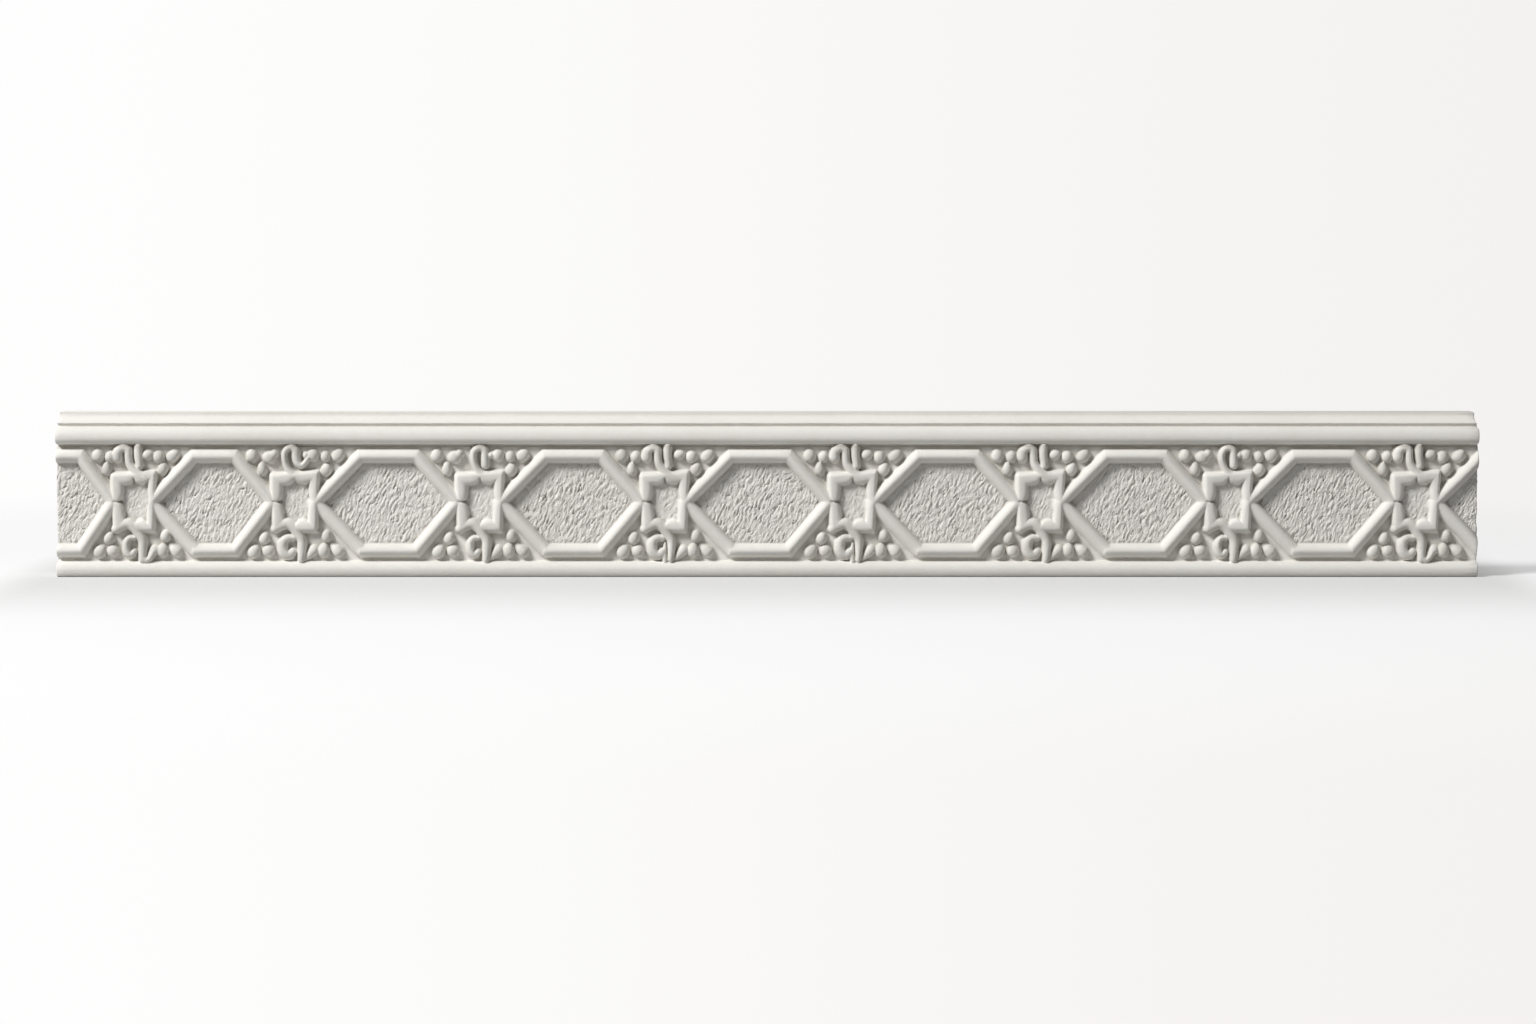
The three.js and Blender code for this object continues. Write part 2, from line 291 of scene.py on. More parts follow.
# Star frames: four arms round a square, each swelling inwards into two lobes
starFrame = {
    "width": 28.6,
    "height": 36.9,
    "shift": 0.95,
    "outer": {"left": 3.4, "top": 3.3, "right": 2.7, "bottom": 4.2},
    "inner": {"left": 6.6, "top": 7.3, "right": 5.3, "bottom": 7.0},
    "rise": 6.2,
    "outerPower": 1.9,
    "innerPower": 3.0,
    "lobePower": 4.0,
    "notchHalf": 0.35,
    "notchLeft": 2.3,  # what is left of an arm inside its crest at a notch
    "flare": 0.045,  # the frame widens upwards
    "topTilt": 0.06,  # the top arm climbs to the right
    "cornerPower": 2.3,  # how square the outer corners are
    "sprigArm": (-0.4, 0.05),  # left of this, a strand of the sprig takes the bottom arm's place
    "join": 0.3,
    "reach": 8.0,
    "floorRise": 1.4,  # the ground within a frame is less deep
    "panel": (-13.0, 14.0, 17.0),  # that ground's left, right and half height
    "panelWrinkles": 0.65,
}

# What differs in the first whole star
firstFrame = {
    "width": 26.2,
    "shift": -0.25,
    "outer": {"left": 3.4, "top": 3.3, "right": 2.7, "bottom": 4.2},
    "inner": {"left": 6.6, "top": 7.3, "right": 4.0, "bottom": 7.0},
    "tipCleared": (10.0, 9.0),  # the hexagon's tip is cut off at the star's panel: right, half height
}


def star(x0):
    f = starFrame | (firstFrame if x0 == stars[1] else {})

    def shape(x, z):
        v = z - patternLine
        u = x - x0 - f["shift"]
        v = v - f["topTilt"] * u * smoothStep(0, f["height"] / 2, v)
        halfHeight = f["height"] / 2
        halfWidth = f["width"] / 2 + f["flare"] * v
        sides = {"left": -u - halfWidth, "right": u - halfWidth}
        sides |= {"top": v - halfHeight, "bottom": -v - halfHeight}
        beside = np.full(x.shape, -np.inf)
        half = np.ones(x.shape)
        for name, offset in sides.items():
            along, reach = (v, halfHeight) if name in ("left", "right") else (u, halfWidth)
            share = np.clip((reach - np.abs(along)) / (reach - f["notchHalf"]), 0, 1)  # corner 0, notch 1
            lobe = f["inner"][name] * np.clip(1 - share ** f["lobePower"], 0, 1) ** (1 / f["lobePower"])
            own = np.where(offset > 0, f["outer"][name], np.maximum(lobe, f["notchLeft"]))
            if name == "bottom":
                own = np.where(u < f["sprigArm"][0], f["sprigArm"][1], own)
            nearer = offset > beside
            beside = np.where(nearer, offset, beside)
            half = np.where(nearer, own, half)
        outU, outV = np.clip(np.abs(u) - halfWidth, 0, None), np.clip(np.abs(v) - halfHeight, 0, None)
        rounded = (outU ** f["cornerPower"] + outV ** f["cornerPower"]) ** (1 / f["cornerPower"])
        beside = np.where((outU > 0) & (outV > 0), rounded, beside)
        share = beside / half
        outside, inside = section(share, f["outerPower"]), section(share, f["innerPower"])
        return f["rise"] * np.where(share > 0, outside, inside)

    if "tipCleared" in f:
        right, half = f["tipCleared"]
        height[windowOf(x0, x0 + right, patternLine - half, patternLine + half)] = 0
    carve([(x0, patternLine)], f["height"] / 2 + f["reach"], shape, f["join"])
    left, right, half = f["panel"]
    panel = windowOf(x0 + left, x0 + right, patternLine - half, patternLine + half)
    height[panel] = np.maximum(height[panel], f["floorRise"])
    stippled[panel] = np.maximum(stippled[panel], f["panelWrinkles"])


# A narrow cut where the frame's left arms and the bars of the hexagon run into one another
joint = {
    "start": (-15.0, 0.3),
    "end": (-7.5, -0.3),
    "half": 0.8,
    "depth": 1.7,
    "endShare": 0.25,  # of the depth in the middle
    "fade": (0.2, 2.5),  # heights between which it begins to show
    "margin": 3.0,
}


def starJoint(x0):
    a, b = (np.array((x0, patternLine)) + joint[name] for name in ("start", "end"))
    run = b - a
    margin = joint["margin"]
    rows, columns = windowOf(a[0] - margin, b[0] + margin, b[1] - margin, a[1] + margin)
    x, z = np.meshgrid(rasterX[columns], rasterZ[rows])
    t = np.clip(((x - a[0]) * run[0] + (z - a[1]) * run[1]) / (run @ run), 0, 1)
    gap = np.hypot(x - a[0] - t * run[0], z - a[1] - t * run[1])
    share = np.clip(6 * t * (1 - t) + joint["endShare"], 0, 1)  # deepest in the middle
    cut = joint["depth"] * np.clip(1 - gap / joint["half"], 0, 1) * share
    height[rows, columns] -= cut * smoothStep(*joint["fade"], height[rows, columns])


# Berries: right of the star's middle, above it, width, length, tilt, taper
berries = {
    "upperLeft": [
        (-29.3, 32.2, 8.7, 9.9, -0.3, 0.08),
        (-22.2, 22.9, 7.0, 10.6, -0.15, 0.14),
    ],
    "hookUpperLeft": [
        (-19.5, 31.5, 7.6, 8.9, 0.2, 0.1),
    ],
    "loopUpperLeft": [
        (-17.0, 31.2, 9.6, 9.4, 0.5, 0.1),
        (-13.6, 33.4, 6.4, 6.6, 0.0, 0.0),
    ],
    "hookUpperRight": [
        (11.1, 32.9, 7.4, 8.9, 1.35, 0.1),
        (19.6, 31.3, 8.5, 9.2, 0.0, 0.06),
        (31.2, 32.1, 8.6, 10.6, 0.8, 0.06),
        (22.9, 22.9, 7.8, 10.2, 0.25, 0.08),
    ],
    "loopUpperRight": [
        (13.4, 32.4, 8.9, 8.9, 0.0, 0.0),
        (8.6, 32.6, 4.8, 5.2, 0.0, 0.0),
        (22.4, 31.5, 6.9, 8.2, 0.0, 0.0),
        (31.2, 32.4, 9.0, 10.2, 0.8, 0.05),
        (22.8, 22.3, 8.4, 10.0, 0.2, 0.12),
    ],
    "lower": [
        (-21.0, -26.0, 7.8, 9.6, 0.25, 0.12),
        (-28.4, -35.3, 9.0, 10.6, 0.6, 0.12),
        (-18.2, -34.8, 9.0, 9.2, 0.0, 0.05),
        (22.8, -24.4, 7.6, 9.2, 0.0, 0.12),
        (20.8, -34.6, 8.6, 10.6, 0.1, 0.14),
    ],
    "rise": 5.4,
    "power": 2.4,
    "join": 0.22,
    "reach": 0.8,  # share of its size within which a berry is carved
    "drop": [(26.9, -30.8), (28.9, -33.1), (31.0, -35.3)],  # the berry that hangs down at the right
    "dropWidths": (4.0, 7.2, 8.4),
    "dropRises": (0.5, 0.9, 1),
    "dropRise": 5.2,
    "firstNear": 0.87,  # how much nearer they are to the first whole star
}


# A berry: an egg-shaped dome with its narrow end towards the tilt
def berry(x0, z0, width, length, tilt, taper):
    c, s = math.cos(tilt), math.sin(tilt)

    def shape(x, z):
        along = ((x - x0) * s + (z - z0) * c) / (length / 2)
        across = ((x - x0) * c - (z - z0) * s) / (width / 2 * (1 - taper * np.clip(along, -1, 1)))
        return berries["rise"] * section(np.hypot(along, across), berries["power"])

    carve([(x0, z0)], max(width, length) * berries["reach"], shape, berries["join"], 1)


# Sprigs: places right of the star's middle and above it, and the widths along each strand
sprigs = {
    "hook": [
        (-12.0, 31.2), (-11.2, 35.4), (-7.6, 38.0), (-4.4, 36.4), (-4.0, 32.0),
        (-3.2, 26.8), (0.2, 21.8), (4.6, 18.6), (7.6, 16.2),
    ],
    "hookWidths": (8.6, 7.0, 6.2, 6.2, 6.6, 7.0, 6.4),
    "hookRises": (1, 1, 1, 1.12),
    "upright": [(3.0, 38.4), (2.8, 32.0), (3.8, 25.2)],
    "uprightWidths": (6.4, 6.6, 5.8),
    "loop": [
        (1.0, 17.6), (-3.4, 22.0), (-6.0, 27.6), (-6.3, 33.6), (-4.2, 37.2), (-1.0, 38.2),
        (1.4, 35.6), (1.7, 31.0), (3.0, 27.0), (5.6, 25.4), (8.2, 27.6), (10.6, 31.0),
    ],
    "loopWidths": (7.2, 5.6, 4.8, 5.0, 5.6, 6.8, 6.6, 4.8, 3.6),
    "shortLoop": [
        (3.2, 18.2), (-0.6, 22.0), (-3.2, 27.4), (-3.8, 32.8), (-2.2, 36.6),
        (1.2, 38.0), (4.2, 36.0), (4.6, 31.0), (4.7, 25.6),
    ],
    "shortLoopWidths": (7.0, 5.6, 5.0, 5.0, 5.4, 6.0, 6.4, 6.4),
    "stem": [
        (-13.2, -19.2), (-9.0, -16.6), (-4.7, -15.4), (-0.9, -17.8),
        (1.4, -20.8), (5.0, -26.6), (5.5, -33.0), (4.9, -41.0),
    ],
    "stemRises": (1.1, 1.12, 1, 1),
    "stemWidths": (7.2, 8.4, 8.4, 7.8, 7.4, 7.2, 6.8, 6.0),
    "forkedStemWidths": (7.2, 8.4, 8.4, 7.8, 7.4, 6.2, 5.6, 4.4),
    "curl": [
        (-1.0, -25.8), (-4.6, -25.6), (-7.8, -28.4), (-8.2, -33.4),
        (-6.2, -36.8), (-3.2, -37.4), (-1.2, -35.6),
    ],
    "curlRises": (0.75, 1, 1, 0.85),
    "curlWidths": (5.2, 6.4, 7.4, 8.2, 8.6, 8.2, 6.6),
    "narrowCurl": 0.76,
    "fork": [(0.9, -29.0), (0.6, -35.0), (0.9, -42.0)],
    "forkWidths": (2.2, 3.3, 4.4),
    "leaf": [(8.2, -41.0), (10.6, -37.8), (13.8, -34.2)],
    "leafWidths": (2.6, 5.8, 7.8),
    "turn": [(5.2, -38.0), (7.2, -41.2), (10.2, -40.2), (13.0, -35.4)],
    "turnWidth": 5.0,
    "rise": 5.7,
    "leafRise": 0.9,  # share of the rise
    "forkRise": 0.85,
    "tipRises": (0.6, 1),  # of the leaf and the fork
    "loopStars": [1, 2, 6],
    "shortLoopStars": [2, 6],
    "forkStars": [3, 4],
    "turnStars": [0, 7],
    "narrowStars": [0, 2, 6],
}


# The berries and the sprigs round one star
def starCorners(x0, index):
    def at(line):
        return [(x0 + side, patternLine + up) for side, up in line]

    looped, forked = index in sprigs["loopStars"], index in sprigs["forkStars"]
    near = berries["firstNear"] if index == 0 else 1
    lessNear = (1 + near) / 2
    kind = "loop" if looped else "hook"
    for corner in ("upperLeft", kind + "UpperLeft", kind + "UpperRight", "lower"):
        for side, up, width, length, tilt, taper in berries[corner]:
            across = side * (near if side < 0 or up > 0 else lessNear)
            berry(x0 + across, patternLine + up, width, length, tilt, taper)
    drop = [(side * lessNear, up) for side, up in berries["drop"]]
    strand(at(drop), berries["dropWidths"], berries["dropRise"], berries["dropRises"])
    rise = sprigs["rise"]
    if looped:
        name = "shortLoop" if index in sprigs["shortLoopStars"] else "loop"
        strand(at(sprigs[name]), sprigs[name + "Widths"], rise)
    else:
        strand(at(sprigs["hook"]), sprigs["hookWidths"], rise, sprigs["hookRises"])
        strand(at(sprigs["upright"]), sprigs["uprightWidths"], rise)
    widths = sprigs["forkedStemWidths" if forked else "stemWidths"]
    strand(at(sprigs["stem"]), widths, rise, sprigs["stemRises"])
    narrow = sprigs["narrowCurl"] if index in sprigs["narrowStars"] else 1
    curl = [(side * narrow, up) for side, up in sprigs["curl"]]
    strand(at(curl), [width * narrow for width in sprigs["curlWidths"]], rise, sprigs["curlRises"])
    if index in sprigs["turnStars"]:
        strand(at(sprigs["turn"]), [sprigs["turnWidth"]] * 2, rise)
    strand(at(sprigs["leaf"]), sprigs["leafWidths"], rise * sprigs["leafRise"], sprigs["tipRises"])
    if forked:
        strand(at(sprigs["fork"]), sprigs["forkWidths"], rise * sprigs["forkRise"], sprigs["tipRises"])


for place, following in zip(stars, stars[1:]):
    hexagon(place, following)
for number, place in enumerate(stars[1:]):
    if place < rightEnd:
        star(place)
        starCorners(place, number)
        starJoint(place)
print("carving worked out", height.shape)


# Gradient noise on a repeating table, the same on each run
table = {"seed": 7, "size": 256, "apart": (17.31, 9.77)}
gradients = np.random.default_rng(table["seed"]).uniform(0, 2 * math.pi, (table["size"], table["size"]))


def noise(u, v, shift=0):
    u, v = np.broadcast_arrays(u + table["apart"][0] * shift, v + table["apart"][1] * shift)
    iu, iv = np.floor(u).astype(int), np.floor(v).astype(int)
    fu, fv = u - iu, v - iv
    su, sv = (f * f * f * (f * (f * 6 - 15) + 10) for f in (fu, fv))
    corner = {}
    for du in (0, 1):
        for dv in (0, 1):
            turn = gradients[(iu + du) % table["size"], (iv + dv) % table["size"]]
            corner[du, dv] = np.cos(turn) * (fu - du) + np.sin(turn) * (fv - dv)
    nearSide = corner[0, 0] + su * (corner[1, 0] - corner[0, 0])
    farSide = corner[0, 1] + su * (corner[1, 1] - corner[0, 1])
    return nearSide + sv * (farSide - nearSide)


# The mean round each place, weighted by a bell curve
def blurred(values, reach):
    radius = int(3 * reach / carving["pitch"]) + 1
    offsets = np.arange(-radius, radius + 1) * carving["pitch"]
    weights = np.exp(-0.5 * (offsets / reach) ** 2)
    weights /= weights.sum()
    for axis in (0, 1):
        padded = np.pad(values, [(radius, radius) if a == axis else (0, 0) for a in (0, 1)], mode="edge")
        size = values.shape[axis]
        values = sum(w * np.take(padded, range(i, i + size), axis) for i, w in enumerate(weights))
    return values


# Wrinkles of the trowelled fields, leaning strokes with a few deeper creases
wrinkles = {
    "across": 1.45,
    "along": 5.4,
    "lean": math.radians(66),
    "depth": 1.15,
    "fine": (0.35, 1.7, 2.3),  # share of the depth, and how much finer across and along
    "swirl": 14.0,
    "bend": 2.2,
    "smallSwirl": 5.0,
    "smallBend": 0.8,
    "patchSize": 12.0,
    "patchEdge": (-0.4, 0.2),
    "patchDepth": 0.6,  # share of the depth between the patches
    "crease": 0.85,
    "creaseSize": (0.55, 0.6),
    "creaseHalf": 0.07,
    "creaseGroups": 6.0,
    "creaseEdge": (0.0, 0.25),
    "barEdge": (2.9, 1.7),  # heights between which the wrinkles begin at a bar
}


def wrinkled(x, z):
    w = wrinkles
    c, s = math.cos(w["lean"]), math.sin(w["lean"])
    bend = w["bend"] * noise(x / w["swirl"], z / w["swirl"], 1)
    bend = bend + w["smallBend"] * noise(x / w["smallSwirl"], z / w["smallSwirl"], 2)
    across = (x * s - z * c + bend) / w["across"]
    along = (x * c + z * s) / w["along"]
    share, finerAcross, finerAlong = w["fine"]
    strokes = noise(across, along, 4) + share * noise(finerAcross * across, finerAlong * along, 5)
    patches = smoothStep(*w["patchEdge"], noise(x / w["patchSize"], z / w["patchSize"], 6))
    line = noise(across * w["creaseSize"][0], along * w["creaseSize"][1], 7)
    groups = smoothStep(*w["creaseEdge"], noise(x / w["creaseGroups"], z / w["creaseGroups"], 8))
    creases = np.exp(-((line / w["creaseHalf"]) ** 2)) * groups
    deep = w["patchDepth"] + (1 - w["patchDepth"]) * patches
    return w["depth"] * strokes * deep - w["crease"] * creases


# Just under the upper roll: a groove in the ground and a painted shadow along it
ledge = {
    "depth": 1.35,
    "half": 0.8,
    "drop": 0.7,
    "groundEdge": (1.0, 0.2),
    "paintedShade": 2.2,
    "paintedShadeHalf": 1.1,
    "paintedShadeDrop": 0.8,
}
xs, zs = np.meshgrid(rasterX, rasterZ)
height = blurred(height, carving["wear"])
stippled *= smoothStep(*wrinkles["barEdge"], height)
# Painted shade: the deeper a place lies below the blurred carving, the darker the plaster is coloured there
hollowShade = np.clip(blurred(height, carving["hollowReach"]) - height, 0, None)
# painted shadow in a band just under the upper roll
hollowShade += ledge["paintedShade"] * np.exp(-(((zs - bandTop + ledge["paintedShadeDrop"]) / ledge["paintedShadeHalf"]) ** 2))
height += stippled * wrinkled(xs, zs)
cutUnderRoll = ledge["depth"] * np.exp(-(((zs - bandTop + ledge["drop"]) / ledge["half"]) ** 2))
height -= cutUnderRoll * smoothStep(*ledge["groundEdge"], height)
ground = smoothStep(*carving["groundEdge"], height)
large, largeSize, small, smallSize = carving["groundUneven"]
dents = large * noise(xs / largeSize, zs / largeSize, 11)
dents = dents + small * noise(xs / smallSize, zs / smallSize, 12)
height += ground * dents
uneven, unevenSize = carving["partUneven"]
height += (1 - ground) * uneven * noise(xs / unevenSize, zs / unevenSize, 13)
print("carving softened and wrinkled")


# Reads a raster at places inside it
def sampled(raster, x, z):
    column = np.clip((x - rasterX[0]) / carving["pitch"], 0, len(rasterX) - 1.001)
    row = np.clip((z - rasterZ[0]) / carving["pitch"], 0, len(rasterZ) - 1.001)
    i, j = row.astype(int), column.astype(int)
    a, b = row - i, column - j
    lower = raster[i, j] * (1 - b) + raster[i, j + 1] * b
    upper = raster[i + 1, j] * (1 - b) + raster[i + 1, j + 1] * b
    return lower * (1 - a) + upper * a


# The profile as rows of depth behind the nose and height, from the back of the underside round to the back
def profileRows():
    p = profile
    upperNose = bandTop + p["upperRollNose"]
    rollTop = bandTop + p["upperRollHeight"]
    coveBottom = rollTop + p["quirkHeight"]
    coveTop = coveBottom + p["coveHeight"]
    front = []

    def arc(depth, z, reach, rise, start, end):
        turn = np.radians(np.linspace(start, end, p["arcPoints"]))
        front.extend(zip(depth + reach * np.cos(turn), z + rise * np.sin(turn)))

    arc(p["baseRollTuck"], p["baseRollNose"], p["baseRollTuck"], p["baseRollNose"], 270, 180)
    arc(groundDepth, p["baseRollNose"], groundDepth, bandBottom - p["baseRollNose"], 180, 90)
    front.append((groundDepth, bandTop - p["ledgeTilt"]))
    front.append((p["upperRollTuck"], bandTop + p["ledgeTilt"] / 2))
    underNose = p["upperRollNose"] - p["ledgeTilt"] / 2
    arc(p["upperRollTuck"], upperNose, p["upperRollTuck"], underNose, 270, 180)
    arc(p["upperRollBack"], upperNose, p["upperRollBack"], rollTop - upperNose, 180, 90)
    front += [(p["quirkDepth"], rollTop), (p["quirkDepth"], rollTop + p["quirkWall"])]
    front.append((p["coveFoot"], coveBottom))
    arc(p["coveFoot"], coveTop, p["coveReach"], p["coveHeight"], 270, 360)
    front.append((p["coveFoot"] + p["coveReach"], runHeight))
    front = np.array(front)
    gaps = np.linalg.norm(np.diff(front, axis=0), axis=1)
    lengths = np.concatenate([[0], np.cumsum(gaps)])
    marks = np.linspace(0, lengths[-1], int(lengths[-1] / p["frontStep"]))
    fine = np.linspace(0, lengths[-1], int(lengths[-1] / p["wearStep"]))
    steps = p["wearSteps"]
    weights = np.exp(-0.5 * (np.arange(-steps, steps + 1) * p["wearStep"] / p["edgeWear"]) ** 2)
    smooth = []
    for axis in (0, 1):
        values = np.interp(fine, lengths, front[:, axis])
        before, after = 2 * values[0] - values[steps:0:-1], 2 * values[-1] - values[-2 : -steps - 2 : -1]
        padded = np.concatenate([before, values, after])
        smooth.append(np.interp(marks, fine, np.convolve(padded, weights / weights.sum(), "valid")))
    front = np.column_stack(smooth)
    top = np.linspace(front[-1, 0], runDepth, int((runDepth - front[-1, 0]) / p["hiddenStep"]) + 2)[1:]
    back = np.linspace(runHeight, 0, int(runHeight / p["hiddenStep"]) + 2)[1:]
    under = np.linspace(runDepth, front[0, 0], int((runDepth - front[0, 0]) / p["hiddenStep"]) + 2)[1:-1]
    hidden = [(depth, runHeight) for depth in top] + [(runDepth, z) for z in back]
    hidden += [(depth, 0) for depth in under]
    return np.vstack([front, hidden]), len(front)


# Both ends: rounded at the rim, ragged along the front, further in at the cove
ends = {
    "round": 0.9,
    "marks": [0.0, 0.12, 0.35, 0.65],  # columns of the mesh within the rounding
    "ragged": 0.7,
    "raggedReach": 7.0,
    "raggedMost": 1.4,
    "raggedMiddle": 0.5,
    "raggedSizes": (7.0, 2.4),
    "raggedSmall": 0.5,  # share of the small ones
    "raggedRows": (3.7, 5.1),  # places in the noise, so that the two ends differ
    "noseShare": 0.1,
    "flat": 0.4,
    "coveInset": 0.9,
    "coveFrom": (-1.0, 1.5),  # from the top of the upper roll
}
casting = {
    "name": "moulding_casting",
    "columnStep": 0.5,
    "triangles": 196000,
    "slopeRows": 3,
    "waves": 0.1,
    "waveSize": (38.0, 14.0),
    "waveMiddle": 0.6,
    "dimples": 0.035,
    "dimpleSize": (5.0, 2.2),
    "plainRows": (2, 5),  # rows at each edge of the front that the waves leave out
    "sunkFrom": (0.8, 0.1),  # above the ground, where the wrinkles may cut into it
    "bandReach": (4.0, 3.0),  # how far the carving runs over the rolls
}


# The casting as a grid, closed round the profile and open at the ends: a row for each place on the
# profile, a column for each along the run
def castingGrid():
    rows, frontCount = profileRows()
    count = int((runLength - 2 * ends["round"]) / casting["columnStep"])
    inner = np.linspace(leftEnd + ends["round"], rightEnd - ends["round"], count)
    marks = np.array(ends["marks"])
    x = np.concatenate([leftEnd + marks, inner, rightEnd - marks[::-1]])[None, :]
    depth, z = rows[:, 0][:, None], rows[:, 1][:, None]
    slope = np.roll(rows, -casting["slopeRows"], 0) - np.roll(rows, casting["slopeRows"], 0)
    slope /= np.linalg.norm(slope, axis=1)[:, None]
    normalDepth, normalZ = -slope[:, 1][:, None], slope[:, 0][:, None]
    number = np.arange(len(rows))
    isFront = (number < frontCount)[:, None]

    # shallow waves and dimples of the cast rolls
    fromStart, fromStop = (smoothStep(*casting["plainRows"], n) for n in (number, frontCount - 1 - number))
    fromBand = np.clip(np.abs(np.clip(z, bandBottom, bandTop) - z), 0, 1)
    onRoll = np.minimum(fromStart, fromStop)[:, None] * isFront * fromBand
    around = np.cumsum(np.linalg.norm(np.diff(rows, axis=0, prepend=rows[:1]), axis=1))[:, None]
    (waveX, waveZ), (dimpleX, dimpleZ) = casting["waveSize"], casting["dimpleSize"]
    wave = casting["waves"] * (noise(x / waveX, around / waveZ, 21) - casting["waveMiddle"])
    wave = wave + casting["dimples"] * noise(x / dimpleX, around / dimpleZ, 22)
    shrink = onRoll * np.clip(-wave, 0, None)

    # the carving in the band
    ridge = sampled(height, *np.broadcast_arrays(x, z))
    sunkFrom = (groundDepth - above for above in casting["sunkFrom"])
    sunk = np.clip(-ridge, 0, None) * smoothStep(*sunkFrom, depth)
    carved = np.minimum(depth, groundDepth - np.clip(ridge, 0, None)) + sunk
    below, above = casting["bandReach"]
    inBand = isFront & (z > bandBottom - below) & (z < bandTop + above)

    # the rounded, ragged ends
    fromEnd = np.minimum(x - leftEnd, rightEnd - x)
    inset = ends["round"] - np.sqrt(ends["round"] ** 2 - np.clip(ends["round"] - fromEnd, 0, None) ** 2)
    side = np.sign(x)
    (large, small), (largeRow, smallRow) = ends["raggedSizes"], ends["raggedRows"]
    chipped = ends["raggedMiddle"] + noise(z / large, side * largeRow, 31)
    chipped = chipped + ends["raggedSmall"] * noise(z / small, side * smallRow, 32)
    chipped = np.clip(chipped, 0, ends["raggedMost"]) * np.clip(depth / groundDepth, ends["noseShare"], 1)
    chipped = np.where(isFront, chipped, ends["flat"])
    rollTop = bandTop + profile["upperRollHeight"]
    cove = ends["coveInset"] * smoothStep(*(rollTop + up for up in ends["coveFrom"]), z)
    newX = x - side * (ends["ragged"] * chipped + cove) * smoothStep(ends["raggedReach"], 0, fromEnd)
    newDepth = np.where(inBand, carved, depth) - shrink * normalDepth - inset * normalDepth
    newZ = z - shrink * normalZ - inset * normalZ
    y = noseY + np.clip(newDepth, 0, runDepth)
    return np.stack(np.broadcast_arrays(newX, y, np.clip(newZ, 0, runHeight)), -1)


# The grid as a mesh of quads
def openMesh(grid, name):
    rows, columns = grid.shape[:2]
    index = np.arange(rows * columns).reshape(rows, columns)
    after = np.roll(index, -1, 0)
    quads = np.stack([index[:, :-1], index[:, 1:], after[:, 1:], after[:, :-1]], -1).reshape(-1, 4)
    mesh = bpy.data.meshes.new(name)
    mesh.vertices.add(rows * columns)
    mesh.vertices.foreach_set("co", (grid * mm).astype(np.float32).ravel())
    mesh.loops.add(quads.size)
    mesh.loops.foreach_set("vertex_index", quads.ravel().astype(np.int32))
    mesh.polygons.add(len(quads))
    mesh.polygons.foreach_set("loop_start", np.arange(0, quads.size, 4, dtype=np.int32))
    mesh.update(calc_edges=True)
    mesh.validate()
    return mesh


# Joins points where the surface is plain, down to the casting's number of triangles, and closes both ends
def thinned(mesh, name):
    piece = bpy.data.objects.new(name, mesh)
    bpy.context.scene.collection.objects.link(piece)
    mesh.calc_loop_triangles()
    lighter = piece.modifiers.new("lighter", "DECIMATE")
    lighter.ratio = min(1, casting["triangles"] / len(mesh.loop_triangles))
    shown = piece.evaluated_get(bpy.context.evaluated_depsgraph_get())
    shape = bmesh.new()
    shape.from_mesh(shown.to_mesh())
    piece.modifiers.clear()
    for point in shape.verts:
        point.co.x = min(max(point.co.x, leftEnd * mm), rightEnd * mm)
    for side in (-1, 1):
        rim = [e for e in shape.edges if e.is_boundary and e.verts[0].co.x * side > 0]
        bmesh.ops.triangle_fill(shape, use_beauty=True, edges=rim, normal=(side, 0, 0))
    bmesh.ops.recalc_face_normals(shape, faces=shape.faces)
    gaps = sum(not e.is_manifold for e in shape.edges)
    shape.to_mesh(mesh)
    shape.free()
    triangles = sum(len(p.vertices) - 2 for p in mesh.polygons)
    print("casting has", triangles, "triangles and", gaps, "open edges")
    return piece


moulding = thinned(openMesh(castingGrid(), casting["name"]), casting["name"])


# How the casting is shaded, and the values on its points that the plaster reads, among them the painted
# shade of hollows, of the band under the upper roll and of the foot
shading = {
    "endFacing": 0.95,
    "endDepth": 2.0,
    "sharpFrom": math.radians(62),
    "behindGround": 1.0,
    "hollowMost": 2.5,
    "footShadow": 2.2,  # painted contact shadow: the front of the base roll is darker at the floor
    "footHeights": (1.1, 0.1),
    "footDepth": 5.0,
}


def shadeCasting(mesh):
    mesh.shade_smooth()
    for face in mesh.polygons:
        atEnd = abs(face.center.x) > (rightEnd - shading["endDepth"]) * mm
        if atEnd and abs(face.normal.x) > shading["endFacing"]:
            face.use_smooth = False
    mesh.set_sharp_from_angle(angle=shading["sharpFrom"])
    co = np.empty(len(mesh.vertices) * 3, np.float32)
    mesh.vertices.foreach_get("co", co)
    x, y, z = (co.reshape(-1, 3) / mm).T
    front = (y < noseY + groundDepth + shading["behindGround"]) & (z > bandBottom) & (z < bandTop)
    # painted contact shadow along the foot of the base roll
    foot = shading["footShadow"] * smoothStep(*shading["footHeights"], z) * (y < noseY + shading["footDepth"])
    # the hollow shade value holds the painted shade of hollows and of the ledge, plus the painted contact
    # shadow at the foot
    for name, raster, most, more in (
        ("field", stippled, 1, 0),
        ("hollowShade", hollowShade, shading["hollowMost"], foot),
        ("grime", grimy, 1, 0),
    ):
        values = np.where(front, sampled(raster, x, z) / most, 0) + more
        attribute = mesh.attributes.new(name, "FLOAT", "POINT")
        attribute.data.foreach_set("value", values.astype(np.float32))


shadeCasting(moulding.data)


# A value in a shader: sums and products of it add their Math nodes
class Wire:
    def __init__(self, shader, socket):
        self.shader, self.socket = shader, socket

    def maths(self, operation, first, second):
        return self.shader.node("ShaderNodeMath", {"operation": operation}, {0: first, 1: second})

    def __add__(self, other):
        return self.maths("ADD", self, other)

    def __radd__(self, other):
        return self.maths("ADD", other, self)

    def __sub__(self, other):
        return self.maths("SUBTRACT", self, other)

    def __rsub__(self, other):
        return self.maths("SUBTRACT", other, self)

    def __mul__(self, other):
        return self.maths("MULTIPLY", self, other)

    def __rmul__(self, other):
        return self.maths("MULTIPLY", other, self)


